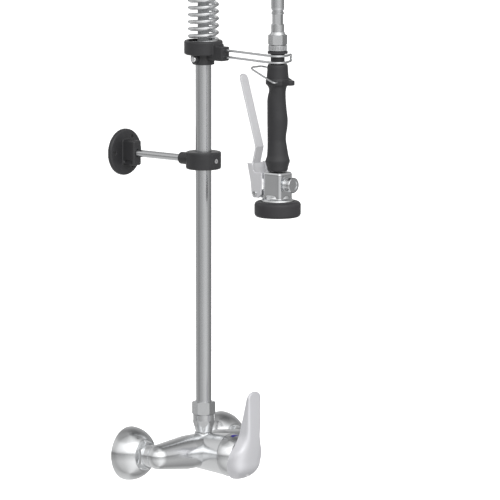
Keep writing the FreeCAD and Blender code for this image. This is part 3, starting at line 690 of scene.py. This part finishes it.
def ribs_tree() -> Tree:
    """Round-ended ribs set upright round a circle, as on a knurled ring.

    Returns:
        The tree.
    """
    tree = Tree("ribs", {"Count": 24, "Circle": 0.01, "Height": 0.005, "Rib": 0.0006})
    g = tree.graph
    ring = g.add("GeometryNodeMeshCircle", inputs={
        "Vertices": tree.inp.outputs["Count"], "Radius": tree.inp.outputs["Circle"]})
    rib = g.add("GeometryNodeMeshCylinder", {"fill_type": "NGON"}, {
        "Vertices": 10, "Radius": tree.inp.outputs["Rib"], "Depth": tree.inp.outputs["Height"]})
    spread = g.add("GeometryNodeInstanceOnPoints", inputs={"Points": ring.outputs[0],
                                                           "Instance": rib.outputs[0]})
    tree.close(spread.outputs[0])
    return tree


def curve_host(name: str, points: Iterable[Vector]) -> bpy.types.Object:
    """A poly curve through points, ready for a tree.

    Args:
        name: the curve's name.
        points: its points.

    Returns:
        The curve object.
    """
    curve = bpy.data.curves.new(name, "CURVE")
    curve.dimensions = "3D"
    spline = curve.splines.new("POLY")
    points = list(points)
    spline.points.add(len(points) - 1)
    for at, p in zip(spline.points, points):
        at.co = (*p, 1.0)
    host = bpy.data.objects.new(name, curve)
    bpy.context.scene.collection.objects.link(host)
    return host


def mesh_host(name: str) -> bpy.types.Object:
    """An empty mesh object, ready for a tree."""
    return new_piece(name, bpy.data.meshes.new(name))


def move_mesh(piece: bpy.types.Object, matrix: Matrix) -> bpy.types.Object:
    """Moves a piece by moving its mesh, so that its object stays at the origin."""
    piece.data.transform(matrix)
    return piece


def middle_of(node: str) -> Vector:
    """The centre of a CAD node's box."""
    low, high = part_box(node)
    return (low + high) / 2.0


# ---- mixer ----
@dataclass
class Mixer(Assembly):
    """The casting with its escutcheons, bonnet and lever.

    The lip is (millimetres in from the rim, millimetres back from the mouth) pairs.
    """

    tilt: float = math.radians(14.4)
    cap_radius: float = 22.6 * MM
    shoulder: float = math.radians(38.0)
    waist_z: float = 30.0 * MM
    blade_half: float = 10.0 * MM
    tip: float = 8.0 * MM
    dome_gap: float = 0.7 * MM
    dome_wall: float = 1.3 * MM
    dome_steps: int = 22
    mouth: float = 0.5 * MM
    lip: tuple = ((0.45, 0.0), (1.2, 0.0), (1.7, 0.5))
    chin: float = 20.5 * MM
    chin_reach: float = 4.0 * MM
    chin_fade: float = 1.9
    lead: float = 0.5 * MM
    least: float = 0.6 * MM
    cap_power: float = 0.72
    power_drop: float = 0.42
    back_power: float = 0.4
    ring_points: int = 64
    rings: int = 80

    def escutcheon(self, node: str) -> None:
        """A thin spun dome with a rolled mouth.

        Args:
            node: the CAD node of the escutcheon.
        """
        low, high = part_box(node)
        centre = Vector(((low.x + high.x) / 2.0, high.y, (low.z + high.z) / 2.0))
        radius = (high.x - low.x) / 2.0
        depth = high.y - low.y
        steps = self.dome_steps
        last = math.asin(min(1.0, (depth - self.mouth) / radius))
        outer = [(radius * math.cos(last * i / steps), radius * math.sin(last * i / steps))
                 for i in range(steps + 1)]
        lip = [(outer[-1][0] - inset * MM, depth - drop * MM) for inset, drop in self.lip]
        inner = []
        for r, h in reversed(outer):
            a = math.atan2(h, r)
            inner.append((r - self.dome_wall * math.cos(a), max(0.0, h - self.dome_wall * math.sin(a))))
        piece = lathe(node + "_dome", outer + lip + inner[1:], centre, Vector((0, -1, 0)), 128)
        self.seat(piece, "mixer", "satin_chrome", node)

    def half_width(self, z: float, cap_z: float, top: float) -> float:
        """Half the lever's width at a height.

        Args:
            z: the height.
            cap_z: the height of the round cap's centre.
            top: the height of the lever's end.

        Returns:
            Half the width.
        """
        over = z - cap_z
        shoulder = self.cap_radius * math.sin(self.shoulder)
        if over < shoulder:
            return math.sqrt(max(0.0, self.cap_radius ** 2 - over ** 2))
        waist = self.waist_z - cap_z
        blade = self.blade_half + 0.8 * MM * (1 - max(0.0, over - waist) / (top - cap_z - waist))
        if over < waist:
            t = (waist - over) / (waist - shoulder)
            return blade + (self.cap_radius * math.cos(self.shoulder) - blade) * t ** 2.2
        end = top - z
        if end < self.tip:
            return blade * math.sqrt(max(0.0, 1 - (1 - end / self.tip) ** 2.2))
        return blade

    def front(self, z: float, low: Vector, high: Vector) -> float:
        """The lever's foremost line: upright above, a round chin below.

        Args:
            z: the height.
            low: the low corner of the lever's box.
            high: the high corner of the lever's box.

        Returns:
            The line's Y.
        """
        chin_z = low.z + self.chin
        foremost = low.y + self.lead
        if z >= chin_z:
            rise = (z - chin_z) / (high.z - chin_z)
            return foremost + self.chin_reach * max(0.0, 1 - rise * self.chin_fade) ** 2.0
        fall = (chin_z - z) / (chin_z - low.z)
        depth = high.y - foremost - self.chin_reach
        return foremost + self.chin_reach + depth * (1 - math.sqrt(max(0.0, 1 - fall ** 2.0)))

    def lever(self) -> None:
        """The mixer lever as one smooth casting: blade above, round cap over the bonnet below."""
        low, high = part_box("mixer_handle")
        slope = math.tan(self.tilt)
        cap_z = low.z + self.cap_radius
        rings = []
        for k in range(self.rings + 1):
            share = (k + 0.35) / (self.rings + 0.7)
            z = low.z + (high.z - low.z) * (0.5 - 0.5 * math.cos(math.pi * share))
            back = high.y - slope * (z - low.z)
            front = min(self.front(z, low, high), back - self.least)
            half = max(self.least, self.half_width(z, cap_z, high.z))
            share = max(0.0, min(1.0, (z - cap_z) / (0.45 * (high.z - cap_z))))
            bend = self.cap_power - self.power_drop * share
            middle = back - (back - front) * 0.10
            ring = []
            for i in range(self.ring_points):
                c, s = math.cos(TAU * i / self.ring_points), math.sin(TAU * i / self.ring_points)
                power = self.back_power if s > 0 else bend
                reach = back - middle if s > 0 else middle - front
                ring.append(Vector((half * math.copysign(abs(c) ** power, c),
                                    middle + reach * math.copysign(abs(s) ** power, s), z)))
            rings.append(ring)
        piece = loft("mixer_lever", rings, 50.0)
        ball_low, ball_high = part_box("dome_cap")
        joint = next(j for j in frame["joints"] if j["name"] == "mixer_lift")
        bm = bmesh.new()
        bmesh.ops.create_uvsphere(bm, u_segments=64, v_segments=40,
                                  radius=(ball_high.x - ball_low.x) / 2.0 + self.dome_gap,
                                  matrix=Matrix.Translation(joint["pos_m"]))
        ball = from_bmesh("ball", bm)
        cut = piece.modifiers.new("hollow", "BOOLEAN")
        cut.operation = "DIFFERENCE"
        cut.solver = "EXACT"
        cut.object = ball
        piece = baked(piece, 42.0)
        bpy.data.objects.remove(ball)
        self.seat(piece, "mixer_lever", "satin_chrome", "mixer_handle")
        piece.data.materials[0] = self.paint.finish("lever_satin")

    def build(self) -> None:
        """Builds the mixer's pieces."""
        self.escutcheon("left_escutcheon")
        self.escutcheon("right_escutcheon")
        self.lever()


# ---- wall bracket ----
@dataclass
class WallBracket(Assembly):
    """Clamp, rod and wall plate."""

    def build(self) -> None:
        """Softens the mouldings' edges."""
        self.cast("bracket", "bracket_clamp", 0.5 * MM, 5)
        self.cast("bracket", "wall_plate", 0.5 * MM, 4)


# ---- overhead ----
@dataclass
class Overhead(Assembly):
    """Collar, hook, spring and hose."""

    leg_radius: float = 260.0 * MM
    leg_top: float = 620.0 * MM
    lean: float = math.radians(22.0)
    pitch: float = 7.84 * MM
    wire: float = 2.25 * MM
    spring_inset: float = 0.1 * MM
    cap_depth: float = 5.8 * MM
    tail_gap: float = 0.6 * MM
    helix: Tree = field(default_factory=helix_tree)
    pipe: Tree = field(default_factory=pipe_tree)

    def route(self, z_start: float, z_end: float, step: float = 4.0 * MM) -> list[Vector]:
        """The overhead route's centre line: up from the riser, over the top, down to the spray.

        Args:
            z_start: the height where it starts on the riser.
            z_end: the height where it ends over the spray.
            step: the distance between points.

        Returns:
            The points in order.
        """
        riser = middle_of("riser_pipe").y
        spray = middle_of("hose_ferrule").y
        half = (riser - spray) / 2.0
        sway = self.leg_radius * (1 - math.cos(self.lean))
        crown_r = (half + sway) / math.cos(self.lean)
        crown_z = self.leg_top + self.leg_radius * math.sin(self.lean) + crown_r * math.sin(self.lean)
        left, right = [], []
        for side, y, z_low, out in ((1.0, riser, z_start, left), (-1.0, spray, z_end, right)):
            count = max(2, round((self.leg_top - z_low) / step))
            out += [Vector((0, y, z_low + (self.leg_top - z_low) * i / count)) for i in range(count)]
            count = round(self.leg_radius * self.lean / step)
            for i in range(count):
                a = self.lean * i / count
                out.append(Vector((0, y + side * self.leg_radius * (1 - math.cos(a)),
                                   self.leg_top + self.leg_radius * math.sin(a))))
        sweep = math.pi + 2 * self.lean
        count = round(crown_r * sweep / step)
        crown = []
        for i in range(count + 1):
            a = -self.lean + sweep * i / count
            crown.append(Vector((0, riser - half + crown_r * math.cos(a),
                                 crown_z + crown_r * math.sin(a))))
        return left + crown + list(reversed(right))

    @staticmethod
    def length(points: Sequence[Vector]) -> float:
        """The length of a line of points."""
        return sum((b - a).length for a, b in zip(points, points[1:]))

    def spring(self) -> None:
        """The wound support spring with its two closed ends."""
        low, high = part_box("support_spring")
        coil = high.x - self.wire - self.spring_inset
        end_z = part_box("spring_cap")[0].z + self.cap_depth
        line = self.route(low.z + self.wire, end_z + self.wire)
        turns = self.length(line) / self.pitch
        piece = self.helix.run(curve_host("spring_route", line), self.paint.finish("spring_wire"), {
            "Turns": turns, "Coil": coil, "Wire": self.wire, "Points": int(turns * 28), "Sides": 12})
        piece.name = "wound_spring"
        self.seat(piece, "overhead", "spring_wire", "support_spring")

    def hose(self) -> None:
        """The hose inside the spring."""
        low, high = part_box("hose")
        end_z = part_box("swivel_tail")[1].z + self.tail_gap
        piece = self.pipe.run(curve_host("hose_route", self.route(low.z, end_z)),
                              self.paint.finish("hose_jacket"), {"Radius": high.x, "Sides": 40})
        piece.name = "hose_jacket"
        self.seat(piece, "overhead", "hose_jacket", "hose")

    def build(self) -> None:
        """Builds the overhead pieces."""
        self.spring()
        self.hose()
        self.cast("overhead", "hook_collar", 0.45 * MM, 4)


# ---- spray ----
@dataclass
class Spray(Assembly):
    """The rinse spray: fittings, grip, valve, lever and bumper.

    The grip's lines are (height over its foot, radius) pairs in millimetres.
    """

    ribs: Tree = field(default_factory=ribs_tree)
    helix: Tree = field(default_factory=helix_tree)
    grip_steps: int = 72
    soft_reach: float = 2.4
    grip_rings: int = 150
    crisp: tuple = ((-0.6, 21.4, 1.0), (90.4, 103.4, 0.4))
    foot_line: tuple = ((0.0, 10.6), (1.2, 11.4))
    back_line: tuple = ((3.9, 11.8), (10.6, 13.7), (16.4, 11.7), (25.4, 11.2),
                        (78.4, 11.6), (84.4, 10.6), (88.4, 9.2), (92.4, 10.3))
    front_line: tuple = ((3.9, 11.6), (10.6, 13.7), (16.9, 12.0), (25.4, 10.5),
                         (34.4, 9.0), (40, 9.4), (47.4, 10.8), (56.4, 11.3), (67.4, 9.9),
                         (78.4, 8.9), (87.4, 8.8), (92.4, 10.0))
    flange_line: tuple = ((95, 12.2), (95.6, 13.2), (100.6, 13.2), (101.3, 12.3), (109.4, 11.6))
    nose_foot: float = 95.4 * MM
    nose_head: float = 100.7 * MM
    nose_half: float = 4.6 * MM

    @staticmethod
    def _between(table: Sequence[tuple], z: float) -> float:
        """A value between (height, value) pairs.

        Args:
            table: (height, value) pairs in order.
            z: the height.

        Returns:
            The value at the height.
        """
        if z <= table[0][0]:
            return table[0][1]
        for (z0, a), (z1, b) in zip(table, table[1:]):
            if z <= z1:
                return a + (b - a) * (z - z0) / (z1 - z0)
        return table[-1][1]

    def _flowing(self, table: Sequence[tuple], z: float) -> float:
        """The table's value at a height, softened over the heights round it.

        Args:
            table: (height, value) pairs in order.
            z: the height.

        Returns:
            The softened value.
        """
        reach = min(self.soft_reach, 0.9 * (z - table[0][0]) + 0.01, 0.9 * (table[-1][0] - z) + 0.01)
        for low, high, limit in self.crisp:
            if low < z < high:
                reach = min(reach, limit)
        places = [z + reach * k / 4.0 for k in range(-4, 5)]
        return sum(self._between(table, p) for p in places) / len(places)

    def grip(self) -> None:
        """The moulded grip: a waisted handle with finger hollows, bulge, flange and thumb nose."""
        low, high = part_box("grip")
        centre = middle_of("handle_tube")
        tall = (high.z - low.z) / MM
        end_line = ((tall - 0.9, 11.2), (tall, 10.3))
        back = self.foot_line + self.back_line + self.flange_line + end_line
        front = self.foot_line + self.front_line + self.flange_line + end_line
        rings = []
        for k in range(self.grip_rings + 1):
            height = tall * k / self.grip_rings
            r_back = self._flowing(back, height)
            r_front = self._flowing(front, height)
            ring = []
            for i in range(self.grip_steps):
                a = TAU * i / self.grip_steps
                facing = 0.5 - 0.5 * math.sin(a)
                share = facing * facing * (3 - 2 * facing)
                r = (r_back * (1 - share) + r_front * share) * MM
                ring.append(Vector((centre.x + r * math.cos(a), centre.y + r * math.sin(a),
                                    low.z + height * MM)))
            rings.append(ring)
        piece = loft("hand_grip", rings, 50.0)
        self.seat(piece, "spray", "grip_moulding", "grip")
        self.nose(low, centre)

    def nose(self, low: Vector, centre: Vector) -> None:
        """The thumb nose in front of the flange, rounded in plan and at its edges.

        Args:
            low: the low corner of the grip's box.
            centre: a point on the spray's axis.
        """
        half, tip = self.nose_half, low.y
        flare, root = 1.6 * MM, centre.y - 9.0 * MM
        z0, z1 = low.z + self.nose_foot, low.z + self.nose_head
        outline = [(centre.x - half - flare, root)]
        for i in range(13):
            a = math.pi + math.pi * i / 12
            outline.append((centre.x + half * math.cos(a), tip + half * 0.8 + half * 0.8 * math.sin(a)))
        outline.append((centre.x + half + flare, root))
        rings = []
        for lift, inset in ((0.0, 0.9), (0.25, 0.3), (0.9, 0.0), (4.4, 0.0), (5.05, 0.3), (5.3, 0.9)):
            rings.append([Vector((centre.x + (x - centre.x) * (1 - inset * MM / half * 0.5),
                                  y + inset * MM * (1.0 if y < centre.y - 12 * MM else 0.0),
                                  z0 + lift * MM * (z1 - z0) / (5.3 * MM)))
                          for x, y in outline])
        piece = loft("thumb_nose", rings, 50.0)
        self.seat(piece, "spray", "grip_moulding")

    def bumper(self) -> None:
        """The rubber bumper ring with its rounded rims."""
        low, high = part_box("spray_bumper")
        outer = (high.x - low.x) / 2.0
        tall = high.z - low.z
        hole = 18.3 * MM
        outline = rounded([(hole, 0.9 * MM, 0.8 * MM), (hole + 2.0 * MM, 0, 1.2 * MM),
                           (outer, 0, 4.2 * MM), (outer, tall, 4.6 * MM), (hole, tall, 0.8 * MM)], 7)
        middle = middle_of("spray_bumper")
        centre = Vector((middle.x, middle.y, low.z))
        piece = lathe("bumper_ring", outline, centre, Vector((0, 0, 1)), 128, 60.0)
        self.seat(piece, "spray", "black_rubber", "spray_bumper")

    def knurl(self) -> None:
        """The ribbed skirt ring under the swivel nut."""
        low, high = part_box("inlet_skirt")
        centre = middle_of("inlet_skirt")
        outer = (high.x - low.x) / 2.0
        tall = high.z - low.z
        core = outer - 0.55 * MM
        hole = 7.85 * MM
        rim = outer - 0.02 * MM
        crisp = 0.1 * MM
        outline = rounded([
            (hole, 0, 0), (core, 0, 0.3 * MM), (rim, 0.7 * MM, 0.2 * MM), (rim, 1.2 * MM, crisp),
            (core, 1.5 * MM, crisp), (core, tall - 1.4 * MM, crisp), (rim, tall - 1.1 * MM, crisp),
            (rim, tall - 0.5 * MM, 0.2 * MM), (core, tall, 0.3 * MM), (hole, tall, 0)], 3)
        ring = lathe("skirt_ring", outline, Vector((centre.x, centre.y, low.z)), Vector((0, 0, 1)), 96)
        self.seat(ring, "spray", "turned_steel", "inlet_skirt")
        ribs = self.ribs.run(mesh_host("skirt_ribs"), self.paint.finish("turned_steel"), {
            "Count": 24, "Circle": core - 0.05 * MM, "Height": tall - 2.2 * MM, "Rib": 0.62 * MM})
        move_mesh(ribs, Matrix.Translation(centre))
        self.seat(ribs, "spray", "turned_steel")

    def plunger_spring(self) -> None:
        """The small wound spring of the valve, which stands for the CAD sleeve."""
        low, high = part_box("valve_spring")
        centre = middle_of("valve_spring")
        wire = 0.4 * MM
        coil = (high.x - low.x) / 2.0 - wire
        start, end = low.y + wire, high.y - wire
        count = 24
        line = [Vector((centre.x, start + (end - start) * i / count, centre.z))
                for i in range(count + 1)]
        turns = (end - start) / (1.5 * MM)
        piece = self.helix.run(curve_host("plunger_spring", line), self.paint.finish("polished_wire"), {
            "Turns": turns, "Coil": coil, "Wire": wire, "Points": int(turns * 24), "Sides": 8})
        self.seat(piece, "spray", "polished_wire", "valve_spring")

    def build(self) -> None:
        """Builds the spray's pieces."""
        self.grip()
        self.plunger_spring()
        self.bumper()
        self.knurl()
        self.cast("spray", "valve_body", 0.5 * MM, 16)
        lever = self.cast("squeeze_lever", "spray_lever", 0.4 * MM, 4)
        lever.data.materials[0] = self.paint.finish("pressed_steel")


# ---- studio ----
@dataclass
class Studio:
    """Camera, soft light and pale floor.

    The walls are (share of the way round, brightness) pairs, the levels the same from nadir to zenith.
    """

    azimuth: float = math.radians(-48.8)
    elevation: float = math.radians(7.5)
    lens: float = 600.0
    sensor: float = 36.0
    field_width: float = 0.5513
    target: tuple = (0.0, -0.1124, 0.2292)
    floor_z: float = -0.45
    floor_width: float = 3.2
    floor_length: float = 12.0
    floor_start: float = 1.6
    brightness: float = 2.0
    front_gain: float = 1.1
    walls: tuple = (
        (0.000, 0.52), (0.110, 0.48), (0.197, 0.45), (0.311, 0.28), (0.361, 0.40), (0.440, 0.47),
        (0.490, 0.58), (0.570, 0.70), (0.620, 0.68), (0.690, 0.48), (0.750, 0.32), (0.890, 0.20),
        (1.000, 0.45))
    levels: tuple = (
        (0.00, 0.60), (0.15, 0.70), (0.28, 0.74), (0.40, 0.55), (0.47, 0.50), (0.495, 0.46),
        (0.505, 0.18), (0.535, 0.30), (0.58, 0.84), (0.66, 0.92), (0.84, 0.88), (0.91, 0.50),
        (1.00, 0.44))

    def camera(self) -> None:
        """A long lens from the front left, a little above."""
        data = bpy.data.cameras.new("camera")
        data.lens = self.lens
        data.sensor_width = self.sensor
        data.clip_end = 60.0
        distance = self.field_width * self.lens / self.sensor
        back = Vector((math.sin(self.azimuth) * math.cos(self.elevation),
                       -math.cos(self.azimuth) * math.cos(self.elevation), math.sin(self.elevation)))
        camera = bpy.data.objects.new("camera", data)
        camera.location = Vector(self.target) + back * distance
        camera.rotation_euler = back.to_track_quat("Z", "Y").to_euler()
        bpy.context.scene.collection.objects.link(camera)
        bpy.context.scene.camera = camera

    def floor(self) -> None:
        """A pale floor that starts behind the object, so that its side faces stay grey."""
        bm = bmesh.new()
        bmesh.ops.create_grid(bm, x_segments=1, y_segments=1, size=0.5)
        size = Matrix.Diagonal((self.floor_width, self.floor_length, 1.0, 1.0))
        middle = Vector((0, self.floor_length / 2.0 + self.floor_start, self.floor_z))
        place = Matrix.Rotation(self.azimuth, 4, "Z") @ Matrix.Translation(middle) @ size
        bmesh.ops.transform(bm, matrix=place, verts=bm.verts)
        floor = from_bmesh("floor", bm)
        mat = bpy.data.materials.new("floor")
        mat.use_nodes = True
        g = Graph(mat.node_tree)
        shader = g.add("ShaderNodeBsdfPrincipled", inputs={
            "Base Color": (0.93, 0.93, 0.93, 1.0), "Roughness": 1.0, "Specular IOR Level": 0.0,
            "Emission Color": (1, 1, 1, 1), "Emission Strength": 0.75})
        g.add("ShaderNodeOutputMaterial", inputs={"Surface": shader.outputs[0]})
        floor.data.materials.append(mat)

    def sky(self) -> None:
        """Soft surroundings: bright windows and grey walls round about, a thin dark horizon."""
        world = bpy.data.worlds.new("studio")
        world.use_nodes = True
        bpy.context.scene.world = world
        g = Graph(world.node_tree)
        way = g.add("ShaderNodeTexCoord").outputs["Generated"]
        parts = g.add("ShaderNodeSeparateXYZ", inputs={0: way})
        x, y, z = (g.value(parts.outputs[i]) for i in range(3))
        ahead = x * math.sin(self.azimuth) - y * math.cos(self.azimuth)
        right = x * math.cos(self.azimuth) + y * math.sin(self.azimuth)
        turn = right.angle_from(ahead) * (1.0 / TAU) + 0.5
        round_about = g.add("ShaderNodeValToRGB", {"stops": [(p, (v, v, v)) for p, v in self.walls]},
                            {0: turn})
        height = g.add("ShaderNodeValToRGB", {"stops": [(p, (v, v, v)) for p, v in self.levels]},
                       {0: z * 0.5 + 0.5})
        slope = z.at_least(0.0) * ahead * self.front_gain + 1.0
        glow = g.value(round_about.outputs[0]) * g.value(height.outputs[0]) * self.brightness * slope
        light = g.add("ShaderNodeBackground", inputs={"Color": (1, 1, 1, 1), "Strength": glow})
        g.add("ShaderNodeOutputWorld", inputs={"Surface": light.outputs[0]})

    def lamps(self) -> None:
        """Two large soft lamps that light the matt surfaces."""
        for name, place, size, power in (("key", (-2.2, -2.6, 3.0), 2.4, 90.0),
                                         ("fill", (2.6, -1.6, 1.8), 2.6, 45.0),
                                         ("back", (0.5, 2.8, 2.2), 2.4, 45.0)):
            data = bpy.data.lights.new(name, "AREA")
            data.size = size
            data.energy = power
            lamp = bpy.data.objects.new(name, data)
            lamp.location = place
            lamp.rotation_euler = (Vector(place) - Vector((0, 0, 0.3))).to_track_quat("Z", "Y").to_euler()
            lamp.visible_glossy = False
            bpy.context.scene.collection.objects.link(lamp)

    def build(self) -> None:
        """Sets up the studio."""
        self.camera()
        self.floor()
        self.sky()
        self.lamps()
        bpy.context.scene.view_settings.view_transform = "Standard"


def main() -> None:
    """Builds the studio and every sub-assembly."""
    logging.basicConfig(level=logging.INFO, format="%(message)s")
    Studio().build()
    paint = Paintbox()
    paint.dress_nodes()
    for assembly in (Mixer(paint), WallBracket(paint), Overhead(paint), Spray(paint)):
        log.info("building %s", type(assembly).__name__)
        assembly.build()


if __name__ == "__main__":
    main()
